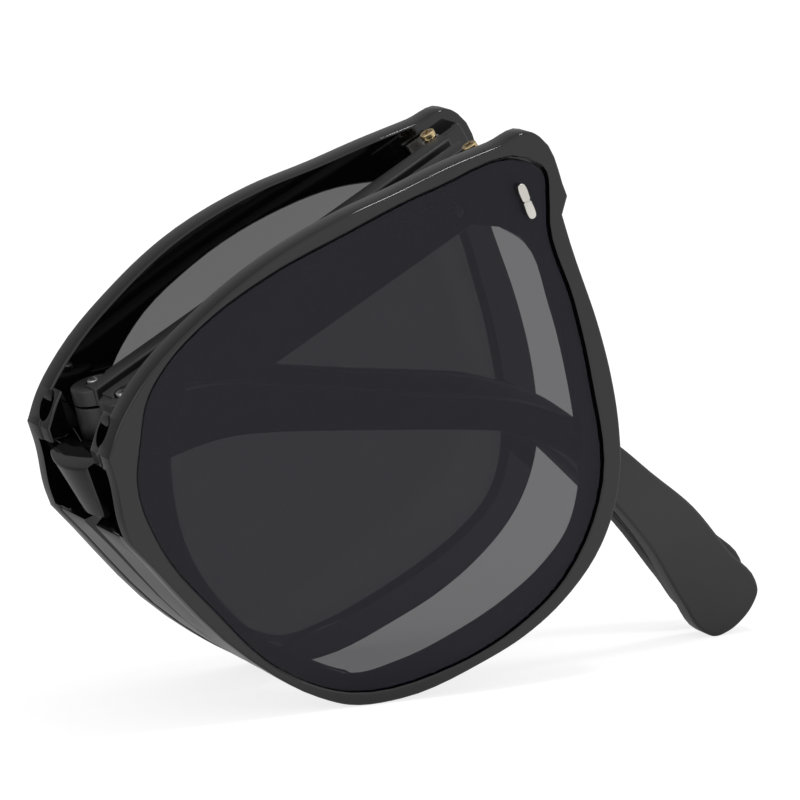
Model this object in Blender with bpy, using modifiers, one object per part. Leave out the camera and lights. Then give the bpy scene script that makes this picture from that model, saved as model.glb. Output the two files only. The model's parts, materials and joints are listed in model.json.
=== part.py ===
"""Folding sunglasses, folded into a flat pack that stands on its rims and temple tips.

Every piece is drawn in the pack's own frame: u runs from the bridge to the endpieces,
y from the left lens to the right one, and w up the lenses. The pack leans in the world.
"""
import math

import bmesh
import bpy
import numpy as np
from mathutils import Matrix

# Shared clearances, metres
GAP = 0.0003
OVERLAP = 0.0005
OVERRUN = 0.001

# Rims and lenses
RIM_WIDTH = 0.0649
RIM_HEIGHT = 0.0554
RIM_THICK = 0.0036
RIM_BEVEL = 0.0004
BOW = 0.0012
BOW_CENTRE_SHARE = 0.5
BOW_REACH_SHARE = 0.37
LENS_THICK = 0.001
LENS_RECESS = 0.0003

# Temples
TEMPLE_HEIGHT = 0.0084
TEMPLE_THICK = 0.003
TEMPLE_BEVEL = 0.0003
TEMPLE_OVERHANG = 0.0006
TEMPLE_SPACING = 0.0021
HINGE_LINE_SHARE = 0.8177
END_MARGIN = 0.0013
REAR_RUN = 0.0517
REAR_DROP = 0.0633
REAR_TO_RIM = 0.0013
TIP_LEAN = 0.0035
LEAN_START_SHARE = 0.58
TIP_ROUND = 0.0024
RIGHT_REAR_PLAY = math.radians(1.2)

# Hinges in the middle of the temples
MID_TILT = math.radians(16)
MID_FROM_BRIDGE = 0.0042
MID_END = 0.0016
MID_KNUCKLE = 0.0038
MID_HEAD_RADIUS = 0.00095
MID_HEAD_HEIGHT = 0.0007
MID_HEAD_SUNK = 0.0009
MID_SHAFT_RADIUS = 0.0006

# Hinges at the endpieces
BARREL_RADIUS = 0.0011
STACK_HEIGHT = 0.0058
STACK_RAISE = 0.0008
STACK_MIDDLE = 0.0026
LEAF_THICK = 0.0007
RIM_LEAF_REACH = 0.0021
TEMPLE_LEAF_REACH = 0.0051
LEAF_ARM = 0.0012
BOSS_ABOVE = 0.003
BOSS_BELOW = 0.0044
TEMPLE_SCREW_RADIUS = 0.0005
TEMPLE_HEAD_RADIUS = 0.0009
TEMPLE_HEAD_HEIGHT = 0.0007

# Bridge link and its hinges
BRIDGE_INSET = 0.0048
BRIDGE_WALL = 0.00225
BRIDGE_LINE_SHARE = 0.7518
LINK_HEIGHT = 0.0071
LINK_DEPTH = 0.00465
LINK_BEVEL = 0.0003
LINK_KNUCKLE = 0.0014
LINK_ARM = 0.0014
LUG_HEIGHT = 0.0025
LUG_SEAT = 0.0019
LUG_WALL = 0.0007
BRIDGE_SCREW_RADIUS = 0.0006
BRIDGE_HEAD_RADIUS = 0.0011
BRIDGE_HEAD_HEIGHT = 0.0008
NUT_RADIUS = 0.0013
NUT_HEIGHT = 0.0009
NUT_COVER = 0.0001

# Badges that rivet the lenses to the endpieces
BADGE_LENGTH = 0.0047
BADGE_WIDTH = 0.0016
BADGE_HEIGHT = 0.0005
BADGE_NOTCH = 0.0003
BADGE_U_SHARE = 0.918
BADGE_W_SHARE = 0.777
PIN_RADIUS = 0.00045
PIN_SPACING = 0.0026
PIN_DEPTH = 0.0012

# Outlines: shares of the rim's width and height, and whether the point is a corner
RIM_SHARES = (
    (0.042, 0.852, True), (0.082, 0.892, False), (0.153, 0.937, False), (0.305, 0.984, False),
    (0.421, 1.0, False), (0.609, 0.986, False), (0.727, 0.957, False), (0.827, 0.935, False),
    (0.925, 0.908, False), (0.995, 0.89, True), (1.0, 0.874, True), (0.991, 0.731, True),
    (0.966, 0.704, True), (0.954, 0.639, False), (0.925, 0.448, False), (0.903, 0.35, False),
    (0.867, 0.238, False), (0.832, 0.162, False), (0.777, 0.092, False), (0.73, 0.054, False),
    (0.615, 0.009, False), (0.519, 0.0, False), (0.431, 0.009, False), (0.271, 0.049, False),
    (0.186, 0.105, False), (0.146, 0.159, False), (0.074, 0.319, False), (0.0, 0.671, True),
    (0.006, 0.711, False), (0.032, 0.8, False),
)
LENS_SHARES = (
    (0.109, 0.838, False), (0.157, 0.903, False), (0.206, 0.935, False), (0.299, 0.965, False),
    (0.441, 0.973, False), (0.595, 0.951, False), (0.787, 0.91, False), (0.958, 0.843, True),
    (0.974, 0.814, True), (0.954, 0.747, False), (0.934, 0.704, False), (0.906, 0.538, False),
    (0.864, 0.368, False), (0.79, 0.171, False), (0.639, 0.052, False), (0.518, 0.031, False),
    (0.384, 0.045, False), (0.202, 0.13, False), (0.116, 0.262, False), (0.071, 0.449, False),
    (0.046, 0.632, False), (0.069, 0.773, False),
)
OPENING_SHARES = (
    (0.16, 0.796, False), (0.199, 0.848, False), (0.285, 0.903, False), (0.435, 0.933, False),
    (0.602, 0.926, False), (0.738, 0.89, False), (0.827, 0.839, True), (0.827, 0.785, True),
    (0.866, 0.749, True), (0.897, 0.679, False), (0.881, 0.538, False), (0.843, 0.375, False),
    (0.807, 0.264, False), (0.761, 0.164, False), (0.703, 0.105, False), (0.633, 0.079, False),
    (0.538, 0.069, False), (0.427, 0.076, False), (0.317, 0.097, False), (0.231, 0.135, False),
    (0.194, 0.184, False), (0.1, 0.392, False), (0.089, 0.605, False), (0.111, 0.688, False),
)

# The rear half's centre line: shares of its run and drop, and of the temple's height
REAR_SHARES = (
    (0.0, 0.0, 0.94), (0.187, 0.058, 0.75), (0.295, 0.118, 0.64), (0.398, 0.181, 0.57),
    (0.571, 0.287, 0.48), (0.678, 0.352, 0.45), (0.737, 0.391, 0.45), (0.803, 0.455, 0.49),
    (0.844, 0.502, 0.52), (0.88, 0.578, 0.61), (0.913, 0.666, 0.69), (0.956, 0.784, 0.86),
    (0.981, 0.92, 1.0), (1.0, 1.0, 1.06),
)

# Depths from the pack's middle plane
FRONT_NEAR = TEMPLE_SPACING / 2
FRONT_FAR = FRONT_NEAR + TEMPLE_THICK
REAR_NEAR = FRONT_FAR + GAP
REAR_FAR = REAR_NEAR + TEMPLE_THICK
RIM_BACK = REAR_FAR + REAR_TO_RIM
RIM_FRONT = RIM_BACK + RIM_THICK
LENS_FRONT = RIM_FRONT - LENS_RECESS
LENS_BACK = LENS_FRONT - LENS_THICK
POCKET_FLOOR = LENS_BACK - GAP
MID_DEPTH = (FRONT_FAR + REAR_NEAR) / 2
MID_RADIUS = MID_DEPTH - FRONT_NEAR
MID_CLEAR = math.hypot(MID_RADIUS, MID_END + GAP)
TEMPLE_AXIS = FRONT_FAR + GAP + BARREL_RADIUS
BRIDGE_AXIS = RIM_FRONT - BRIDGE_WALL - GAP - LINK_KNUCKLE
LUG_BACK = BRIDGE_AXIS - BRIDGE_HEAD_RADIUS - GAP - LUG_WALL

# Places along u and w
HINGE_U = RIM_WIDTH - END_MARGIN - (TEMPLE_AXIS - FRONT_NEAR)
HINGE_W = RIM_HEIGHT * HINGE_LINE_SHARE
MID_U = BRIDGE_INSET + MID_FROM_BRIDGE
BRIDGE_W = RIM_HEIGHT * BRIDGE_LINE_SHARE
LINK_LOW = BRIDGE_W - LINK_HEIGHT / 2
LINK_HIGH = BRIDGE_W + LINK_HEIGHT / 2
SLOT_END = BRIDGE_INSET + LINK_KNUCKLE + GAP
SLOT_LOW = LINK_LOW - GAP
SLOT_HIGH = LINK_HIGH + GAP
LUG_LOW = SLOT_LOW - LUG_HEIGHT
NUT_TOP = LUG_LOW + NUT_COVER + NUT_HEIGHT
STACK_LOW = HINGE_W + STACK_RAISE - STACK_HEIGHT / 2
STACK_HIGH = STACK_LOW + STACK_HEIGHT
MIDDLE_LOW = STACK_LOW + (STACK_HEIGHT - STACK_MIDDLE) / 2
MIDDLE_HIGH = MIDDLE_LOW + STACK_MIDDLE

# The two sides of the pack, and the directions in which flat outlines are drawn
SIDES = ((-1, "left"), (1, "right"))
FACING = Matrix.Rotation(math.radians(90), 4, "X")
SIDEWAYS = Matrix.Rotation(math.radians(90), 4, "Z") @ FACING

BLACK = ((0.012, 0.012, 0.013), 0.0, 0.18)
SMOKE = ((0.055, 0.055, 0.06), 0.0, 0.06)
CHARCOAL = ((0.03, 0.03, 0.032), 0.0, 0.4)
SILVER = ((0.72, 0.72, 0.74), 1.0, 0.28)
BRASS = ((0.72, 0.55, 0.28), 1.0, 0.32)


def smooth(rows, closed, steps):
    """Points of a curve through the rows, whose last value says where it has a corner."""
    places = [np.array(row[:-1]) for row in rows]
    corners = [row[-1] for row in rows]
    count = len(rows)
    points = []
    for index in range(count if closed else count - 1):
        after = (index + 1) % count
        start, end = places[index], places[after]
        chord = end - start
        leave = chord if corners[index] else (end - places[index - 1]) / 2
        arrive = chord if corners[after] else (places[(index + 2) % count] - start) / 2
        for step in range(steps):
            t = step / steps
            bend = t * (1 - t)
            points.append(
                start + chord * t * t * (3 - 2 * t) + leave * bend * (1 - t) - arrive * bend * t
            )
    return points if closed else points + [places[-1]]


def rim_outline(shares, steps=2):
    """An outline given in shares of the rim's width and height."""
    rows = [(u * RIM_WIDTH, w * RIM_HEIGHT, corner) for u, w, corner in shares]
    return smooth(rows, True, steps)


def grown(outline, distance):
    """A clockwise outline moved outward by a distance."""
    moved = []
    for index, point in enumerate(outline):
        along = outline[(index + 1) % len(outline)] - outline[index - 1]
        outward = np.array((-along[1], along[0])) / np.hypot(*along)
        moved.append(point + outward * distance)
    return moved


def clipped(outline, axis, sign, limit):
    """The part of an outline on one side of a line across an axis."""
    kept = []
    for index, end in enumerate(outline):
        start = outline[index - 1]
        inside = [sign * (point[axis] - limit) <= 0 for point in (start, end)]
        if inside[0] != inside[1]:
            share = (limit - start[axis]) / (end[axis] - start[axis])
            kept.append(start + (end - start) * share)
        if inside[1]:
            kept.append(end)
    return kept


def arc(radius, first, last, steps):
    """Points round a circle between two angles."""
    angles = np.linspace(first, last, steps + 1)
    return [np.array((radius * math.cos(angle), radius * math.sin(angle))) for angle in angles]


def box_outline(low_x, high_x, low_y, high_y):
    return [np.array(p) for p in ((low_x, low_y), (low_x, high_y), (high_x, high_y), (high_x, low_y))]


def collect(piece, place, cutter):
    """Put a new object in its collection, at its place in the pack."""
    (cutters if cutter else parts).objects.link(piece)
    piece.matrix_world = place
    if cutter:
        piece.hide_render = True
        piece.display_type = "WIRE"
        piece.parent = pack
    return piece


def slab(name, outline, low, high, place, cutter=False):
    """A closed outline, filled and extruded between two heights of its own frame."""
    curve = bpy.data.curves.new(name, "CURVE")
    curve.dimensions = "2D"
    curve.fill_mode = "BOTH"
    curve.extrude = (high - low) / 2
    spline = curve.splines.new("POLY")
    spline.points.add(len(outline) - 1)
    for point, (x, y) in zip(spline.points, outline):
        point.co = (x, y, 0, 1)
    spline.use_cyclic_u = True
    drawn = bpy.data.objects.new(name + "_outline", curve)
    bpy.context.scene.collection.objects.link(drawn)
    drawn.matrix_world = place @ Matrix.Translation((0, 0, (low + high) / 2))
    bpy.context.view_layer.update()
    mesh = bpy.data.meshes.new_from_object(drawn.evaluated_get(bpy.context.evaluated_depsgraph_get()))
    shape = bmesh.new()
    shape.from_mesh(mesh)
    bmesh.ops.remove_doubles(shape, verts=shape.verts, dist=GAP / 100)
    bmesh.ops.dissolve_limit(
        shape, angle_limit=math.radians(0.1), verts=shape.verts, edges=shape.edges
    )
    bmesh.ops.recalc_face_normals(shape, faces=shape.faces)
    shape.to_mesh(mesh)
    shape.free()
    piece = collect(bpy.data.objects.new(name, mesh), drawn.matrix_world.copy(), cutter)
    bpy.data.objects.remove(drawn)
    return piece


def plate(name, outline, near, far, side, cutter=False):
    """A slab in the plane of the lenses, between two depths on one side of the pack."""
    low, high = sorted((-side * near, -side * far))
    return slab(name, outline, low, high, FACING, cutter)


def bar(name, radius, low, high, place, cutter=True, sides=20):
    """A round bar along the local Z of a place."""
    mesh = bpy.data.meshes.new(name)
    shape = bmesh.new()
    bmesh.ops.create_cone(
        shape, cap_ends=True, segments=sides, radius1=radius, radius2=radius, depth=high - low
    )
    shape.to_mesh(mesh)
    shape.free()
    piece = bpy.data.objects.new(name, mesh)
    return collect(piece, place @ Matrix.Translation((0, 0, (low + high) / 2)), cutter)


def turned(name, profile, place, sides=16):
    """A turned piece, from a profile that runs down its outer side."""
    mesh = bpy.data.meshes.new(name)
    edges = [(index, index + 1) for index in range(len(profile) - 1)]
    mesh.from_pydata([(radius, 0, height) for radius, height in profile], edges, [])
    piece = collect(bpy.data.objects.new(name, mesh), place, False)
    spin = piece.modifiers.new("Turned", "SCREW")
    spin.steps = sides
    spin.render_steps = sides
    spin.use_merge_vertices = True
    spin.merge_threshold = GAP / 100
    return piece


def screw(name, place, head, head_low, head_high, shaft, low):
    """A flat-headed screw along the local Z of a place."""
    profile = (
        (0, head_high), (head, head_high), (head, head_low),
        (shaft, head_low), (shaft, low), (0, low),
    )
    return turned(name, profile, place)


def combine(piece, operation, *others):
    for other in others:
        step = piece.modifiers.new(other.name, "BOOLEAN")
        step.operation = operation
        step.solver = "EXACT"
        step.object = other
    return piece


def bevelled(piece, width):
    edge = piece.modifiers.new("Edges", "BEVEL")
    edge.width = width
    edge.segments = 1
    edge.limit_method = "ANGLE"
    edge.angle_limit = math.radians(50)
    return piece


def bent(piece, axis, cuts, shift):
    """Apply a piece's modifiers, cut it across an axis and shift its depth along that axis."""
    bpy.context.view_layer.update()
    mesh = bpy.data.meshes.new_from_object(piece.evaluated_get(bpy.context.evaluated_depsgraph_get()))
    piece.modifiers.clear()
    shape = bmesh.new()
    shape.from_mesh(mesh)
    normal = [0, 0, 0]
    normal[axis] = 1
    for cut in cuts:
        place = [0, 0, 0]
        place[axis] = cut
        everything = shape.verts[:] + shape.edges[:] + shape.faces[:]
        bmesh.ops.bisect_plane(shape, geom=everything, plane_co=place, plane_no=normal)
    bmesh.ops.triangulate(shape, faces=shape.faces)
    for vertex in shape.verts:
        vertex.co.z += shift(vertex.co[axis])
    shape.to_mesh(mesh)
    shape.free()
    piece.data = mesh
    return piece


def finished(piece, holder, look):
    """Hang a piece on the empty of its body and give it its own material."""
    piece.parent = holder
    if holder is not pack:
        piece.location -= holder.location
    colour, metallic, roughness = look
    finish = bpy.data.materials.new(piece.name + "_finish")
    finish.use_nodes = True
    surface = finish.node_tree.nodes["Principled BSDF"]
    surface.inputs["Base Color"].default_value = (*colour, 1)
    surface.inputs["Metallic"].default_value = metallic
    surface.inputs["Roughness"].default_value = roughness
    finish.diffuse_color = (*colour, 1)
    piece.data.materials.clear()
    piece.data.materials.append(finish)
    return piece


def bow(u):
    """How far the lenses and rims stand out of their plane."""
    share = (u - RIM_WIDTH * BOW_CENTRE_SHARE) / (RIM_WIDTH * BOW_REACH_SHARE)
    return BOW * (1 - share * share) ** 2 if abs(share) < 1 else 0


def lean(w):
    """How far the tips bend from the lens towards the pack's middle."""
    start = HINGE_W - REAR_DROP * LEAN_START_SHARE
    share = min(max((start - w) / (start - HINGE_W + REAR_DROP), 0), 1)
    return TIP_LEAN * share * share * (3 - 2 * share)


def edge_u(w):
    """Where the rim's bridge end stands at one height."""
    crossings = []
    for index, end in enumerate(RIM_OUTLINE):
        start = RIM_OUTLINE[index - 1]
        if (start[1] - w) * (end[1] - w) <= 0 and start[1] != end[1]:
            crossings.append(start[0] + (end[0] - start[0]) * (w - start[1]) / (end[1] - start[1]))
    return min(crossings)


def mid_end(height):
    """A point of the folded temple's end face, above or below the middle of its hinge."""
    u = MID_U + height * math.sin(MID_TILT) - MID_END * math.cos(MID_TILT)
    w = HINGE_W + height * math.cos(MID_TILT) + MID_END * math.sin(MID_TILT)
    return np.array((u, w))


def rear_outline(play):
    """The rear half's outline, from its hinge round the tip and back."""
    rows = [
        (MID_U + run * REAR_RUN, HINGE_W - drop * REAR_DROP, height * TEMPLE_HEIGHT, index == 0)
        for index, (run, drop, height) in enumerate(REAR_SHARES)
    ]
    rows[-1] = rows[-1][:-1] + (True,)
    line = smooth(rows, False, 2)
    upper = []
    lower = []
    for index, (u, w, height) in enumerate(line):
        along = line[min(index + 1, len(line) - 1)][:2] - line[max(index - 1, 0)][:2]
        along = along / np.hypot(*along)
        across = np.array((-along[1], along[0])) * height / 2
        upper.append(np.array((u, w)) + across)
        lower.append(np.array((u, w)) - across)
    end = [
        line[-1][:2] + across * x + along * TIP_ROUND * y
        for x, y in arc(1, math.radians(18), math.radians(162), 6)
    ]
    root = line[0][2] / 2
    outline = [mid_end(-root), mid_end(root)] + upper + end + lower[::-1]
    pivot = np.array((MID_U, HINGE_W))
    turn = np.array(((math.cos(play), -math.sin(play)), (math.sin(play), math.cos(play))))
    return [pivot + turn @ (point - pivot) for point in outline]


def make_rim(side, name):
    """A rim with its lens pocket, bridge lugs, hinge slot and endpiece boss."""
    pin_w = [RIM_HEIGHT * BADGE_W_SHARE + sign * PIN_SPACING / 2 for sign in (-1, 1)]
    rim = plate(name + "_rim", RIM_OUTLINE, RIM_BACK, RIM_FRONT, side)
    bevelled(rim, RIM_BEVEL)
    corner = clipped(grown(RIM_OUTLINE, -RIM_BEVEL / 2), 0, 1, SLOT_END)
    upper = clipped(corner, 1, -1, SLOT_HIGH)
    lower = clipped(clipped(corner, 1, -1, LUG_LOW), 1, 1, SLOT_LOW)
    boss = box_outline(
        HINGE_U + TEMPLE_AXIS - FRONT_FAR, HINGE_U + TEMPLE_AXIS - FRONT_NEAR,
        HINGE_W - BOSS_BELOW, HINGE_W + BOSS_ABOVE,
    )
    seat = TEMPLE_AXIS + TEMPLE_OVERHANG + GAP
    combine(
        rim, "UNION",
        plate(name + "_upper_lug", upper, LUG_BACK, RIM_BACK + OVERLAP, side, True),
        plate(name + "_lower_lug", lower, LUG_BACK, RIM_BACK + OVERLAP, side, True),
        plate(name + "_boss", boss, seat, RIM_BACK + OVERLAP, side, True),
    )
    pocket = grown(LENS_OUTLINE, GAP)
    slot = box_outline(-OVERRUN, SLOT_END, SLOT_LOW, SLOT_HIGH)
    axis = Matrix.Translation((BRIDGE_INSET, side * BRIDGE_AXIS, 0))
    head = BRIDGE_HEAD_RADIUS + GAP
    cuts = [
        plate(name + "_pocket", pocket, POCKET_FLOOR, RIM_FRONT + OVERRUN, side, True),
        plate(name + "_opening", OPENING_OUTLINE, REAR_FAR, RIM_FRONT + OVERRUN, side, True),
        plate(name + "_slot", slot, LUG_BACK - OVERRUN, RIM_FRONT - BRIDGE_WALL, side, True),
        bar(name + "_bore", BRIDGE_SCREW_RADIUS + GAP, LUG_LOW - OVERRUN, RIM_HEIGHT, axis),
        bar(name + "_counterbore", head, SLOT_HIGH + LUG_SEAT, RIM_HEIGHT + OVERRUN, axis),
        bar(name + "_nut_seat", NUT_RADIUS + GAP, LUG_LOW - OVERRUN, NUT_TOP + GAP, axis),
    ]
    for index, w in enumerate(pin_w):
        hole = Matrix.Translation((RIM_WIDTH * BADGE_U_SHARE, 0, w)) @ FACING
        low, high = sorted((-side * (POCKET_FLOOR - PIN_DEPTH - GAP), -side * RIM_FRONT))
        cuts.append(bar(f"{name}_pin_hole_{index}", PIN_RADIUS + GAP, low, high, hole, sides=12))
    combine(rim, "DIFFERENCE", *cuts)
    lens = plate(name + "_lens", LENS_OUTLINE, LENS_BACK, LENS_FRONT, side)
    combine(lens, "DIFFERENCE", *cuts[-2:])
    centre = RIM_WIDTH * BOW_CENTRE_SHARE
    reach = RIM_WIDTH * BOW_REACH_SHARE
    planes = [centre + reach * share for share in (-0.75, -0.5, -0.25, 0, 0.25, 0.5, 0.75)]
    for piece in (rim, lens):
        bent(piece, 0, planes, lambda u: -side * bow(u))
    return rim, lens


def make_badge(side, name):
    """A notched bar over the lens, with two pins through it."""
    half = BADGE_WIDTH / 2
    straight = BADGE_LENGTH / 2 - half
    outline = []
    for sign in (1, -1):
        rise = math.radians(0 if sign > 0 else 180)
        outline += [(0, sign * straight) + p for p in arc(half, rise, rise + math.pi, 6)]
        outline.append(np.array((-sign * half, BADGE_NOTCH * sign)))
        outline.append(np.array((-sign * (half - BADGE_NOTCH), 0)))
        outline.append(np.array((-sign * half, -BADGE_NOTCH * sign)))
    centre = np.array((RIM_WIDTH * BADGE_U_SHARE, RIM_HEIGHT * BADGE_W_SHARE))
    outline = [centre + point for point in outline]
    badge = plate(name + "_rivet_badge", outline, RIM_FRONT, RIM_FRONT + BADGE_HEIGHT, side)
    pins = []
    for index, sign in enumerate((-1, 1)):
        place = Matrix.Translation((centre[0], 0, centre[1] + sign * PIN_SPACING / 2)) @ FACING
        low, high = sorted((-side * (POCKET_FLOOR - PIN_DEPTH), -side * (RIM_FRONT + BADGE_HEIGHT / 2)))
        pins.append(bar(f"{name}_pin_{index}", PIN_RADIUS, low, high, place, sides=12))
    return combine(badge, "UNION", *pins)


def make_endpiece_hinge(side, name):
    """The two leaves of the hinge between rim and temple, and its screw."""
    axis = Matrix.Translation((HINGE_U, side * TEMPLE_AXIS, 0))
    leaf = box_outline(HINGE_U - RIM_LEAF_REACH, HINGE_U + BARREL_RADIUS, STACK_LOW, STACK_HIGH)
    far = RIM_BACK - GAP
    rim_leaf = plate(name + "_endpiece_leaf", leaf, far - LEAF_THICK, far, side)
    arm = box_outline(HINGE_U - LEAF_ARM / 2, HINGE_U + LEAF_ARM / 2, MIDDLE_LOW, MIDDLE_HIGH)
    combine(
        rim_leaf, "UNION",
        plate(name + "_leaf_arm", arm, TEMPLE_AXIS, far - LEAF_THICK / 2, side, True),
        bar(name + "_rim_knuckle", BARREL_RADIUS, MIDDLE_LOW, MIDDLE_HIGH, axis),
    )
    near = FRONT_FAR + GAP
    leaf = box_outline(HINGE_U - TEMPLE_LEAF_REACH, HINGE_U, STACK_LOW, STACK_HIGH)
    temple_leaf = plate(name + "_temple_leaf", leaf, near, near + LEAF_THICK, side)
    clear = BARREL_RADIUS + GAP
    combine(
        temple_leaf, "UNION",
        bar(name + "_low_knuckle", BARREL_RADIUS, STACK_LOW, MIDDLE_LOW - GAP, axis),
        bar(name + "_high_knuckle", BARREL_RADIUS, MIDDLE_HIGH + GAP, STACK_HIGH, axis),
    )
    combine(
        temple_leaf, "DIFFERENCE",
        bar(name + "_knuckle_room", clear, MIDDLE_LOW - GAP, MIDDLE_HIGH + GAP, axis),
    )
    low, high = STACK_LOW - OVERRUN, STACK_HIGH + OVERRUN
    bore = bar(name + "_temple_bore", TEMPLE_SCREW_RADIUS + GAP, low, high, axis)
    for piece in (rim_leaf, temple_leaf):
        combine(piece, "DIFFERENCE", bore)
    head = STACK_HIGH + GAP
    pin = screw(
        name + "_temple_screw", axis, TEMPLE_HEAD_RADIUS, head, head + TEMPLE_HEAD_HEIGHT,
        TEMPLE_SCREW_RADIUS, STACK_LOW,
    )
    return rim_leaf, temple_leaf, pin


def make_temple(side, name):
    """The front and rear halves of a temple, and the screw and insert of their hinge."""
    half = TEMPLE_HEIGHT / 2
    inner = MID_KNUCKLE / 2
    room = inner + GAP
    axis = Matrix.Translation((MID_U, side * MID_DEPTH, HINGE_W))
    axis = axis @ Matrix.Rotation(MID_TILT, 4, "Y")
    swing = math.pi - math.acos((MID_END - TEMPLE_BEVEL / 2) / MID_RADIUS)
    disc = arc(MID_RADIUS, -swing, swing, 16)
    disc_top = half - TEMPLE_BEVEL / 2
    reach = MID_END + OVERRUN
    quarter = math.radians(90)
    clear = [np.array((-reach, -MID_CLEAR))] + arc(MID_CLEAR, -quarter, quarter, 12)
    clear.append(np.array((-reach, MID_CLEAR)))
    end = HINGE_U + TEMPLE_OVERHANG
    outline = [
        np.array((end, HINGE_W + half)), np.array((end, HINGE_W - half)), mid_end(-half), mid_end(half),
    ]
    front = bevelled(plate(name + "_temple", outline, FRONT_NEAR, FRONT_FAR, side), TEMPLE_BEVEL)
    combine(front, "UNION", slab(name + "_outer_knuckles", disc, -disc_top, disc_top, axis, True))
    combine(front, "DIFFERENCE", slab(name + "_front_room", clear, -room, room, axis, True))
    outline = rear_outline(RIGHT_REAR_PLAY if side > 0 else 0)
    rear = bevelled(plate(name + "_temple_tip", outline, REAR_NEAR, REAR_FAR, side), TEMPLE_BEVEL)
    combine(rear, "UNION", slab(name + "_middle_knuckle", disc, -room, room, axis, True))
    combine(
        rear, "DIFFERENCE",
        slab(name + "_top_room", clear, inner, half + OVERRUN, axis, True),
        slab(name + "_bottom_room", clear, -half - OVERRUN, -inner, axis, True),
    )
    low, high = -half - OVERRUN, half + OVERRUN
    bore = bar(name + "_mid_bore", MID_SHAFT_RADIUS + GAP, low, high, axis)
    sunk = half - MID_HEAD_SUNK
    head = MID_HEAD_RADIUS + GAP
    combine(rear, "DIFFERENCE", bore)
    combine(
        front, "DIFFERENCE", bore,
        bar(name + "_head_seat", head, sunk, high, axis),
        bar(name + "_insert_seat", head, low, -sunk, axis),
    )
    tip = HINGE_W - REAR_DROP
    start = HINGE_W - REAR_DROP * LEAN_START_SHARE
    planes = [start + (tip - start) * share for share in (0.1, 0.3, 0.5, 0.7, 0.9)]
    bent(rear, 1, planes, lambda w: side * lean(w))
    seat = sunk + GAP
    pin = screw(
        name + "_mid_screw", axis, MID_HEAD_RADIUS, seat, seat + MID_HEAD_HEIGHT,
        MID_SHAFT_RADIUS, -sunk,
    )
    insert = bar(
        name + "_mid_insert", MID_HEAD_RADIUS, -seat - MID_HEAD_HEIGHT, -seat, axis, False, 16
    )
    return front, rear, pin, insert


def make_bridge_screw(side, name):
    axis = Matrix.Translation((BRIDGE_INSET, side * BRIDGE_AXIS, 0))
    head = SLOT_HIGH + LUG_SEAT + GAP
    pin = screw(
        name + "_bridge_screw", axis, BRIDGE_HEAD_RADIUS, head, head + BRIDGE_HEAD_HEIGHT,
        BRIDGE_SCREW_RADIUS, LUG_LOW + NUT_COVER,
    )
    nut = bar(name + "_bridge_nut", NUT_RADIUS, NUT_TOP - NUT_HEIGHT, NUT_TOP, axis, False, 6)
    bore = bar(name + "_nut_bore", BRIDGE_SCREW_RADIUS + GAP, LUG_LOW - OVERRUN, SLOT_HIGH, axis)
    return pin, combine(nut, "DIFFERENCE", bore)


def make_link():
    """The keystone block between the rims, with an arm and a knuckle at each side."""
    levels = (LINK_LOW, BRIDGE_W, LINK_HIGH)
    shoulder = [BRIDGE_AXIS - (BRIDGE_INSET - edge_u(w)) - GAP for w in levels]
    outline = [np.array((-y, w)) for y, w in zip(shoulder, levels)]
    outline += [np.array((y, w)) for y, w in reversed(list(zip(shoulder, levels)))]
    back = BRIDGE_INSET + LINK_ARM / 2
    link = bevelled(slab("bridge_link", outline, back - LINK_DEPTH, back, SIDEWAYS), LINK_BEVEL)
    arms = box_outline(-BRIDGE_AXIS, BRIDGE_AXIS, LINK_LOW, LINK_HIGH)
    combine(link, "UNION", slab("link_arms", arms, back - LINK_ARM, back, SIDEWAYS, True))
    for side, name in SIDES:
        axis = Matrix.Translation((BRIDGE_INSET, side * BRIDGE_AXIS, 0))
        low, high = LINK_LOW - OVERRUN, LINK_HIGH + OVERRUN
        knuckle = bar(name + "_link_knuckle", LINK_KNUCKLE, LINK_LOW, LINK_HIGH, axis)
        combine(link, "UNION", knuckle)
        bore = bar(name + "_link_bore", BRIDGE_SCREW_RADIUS + GAP, low, high, axis)
        combine(link, "DIFFERENCE", bore)
    return link


def corners_of(names, turn):
    """Every vertex of some pieces, with the pack turned by an angle."""
    pack.rotation_euler.y = turn
    bpy.context.view_layer.update()
    graph = bpy.context.evaluated_depsgraph_get()
    places = []
    for piece in parts.objects:
        if piece.type == "MESH" and piece.name.endswith(names):
            solid = piece.evaluated_get(graph)
            places += [solid.matrix_world @ vertex.co for vertex in solid.data.vertices]
    return np.array(places)


for old in list(bpy.data.objects):
    bpy.data.objects.remove(old)

parts = bpy.data.collections.new("folding_sunglasses")
cutters = bpy.data.collections.new("cutters")
for group in (parts, cutters):
    bpy.context.scene.collection.children.link(group)
pack = bpy.data.objects.new("pack", None)
parts.objects.link(pack)

RIM_OUTLINE = rim_outline(RIM_SHARES)
LENS_OUTLINE = rim_outline(LENS_SHARES)
OPENING_OUTLINE = rim_outline(OPENING_SHARES)


def axis_empty(name, place):
    empty = bpy.data.objects.new(name, None)
    parts.objects.link(empty)
    empty.parent = pack
    empty.location = place
    return empty


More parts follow.
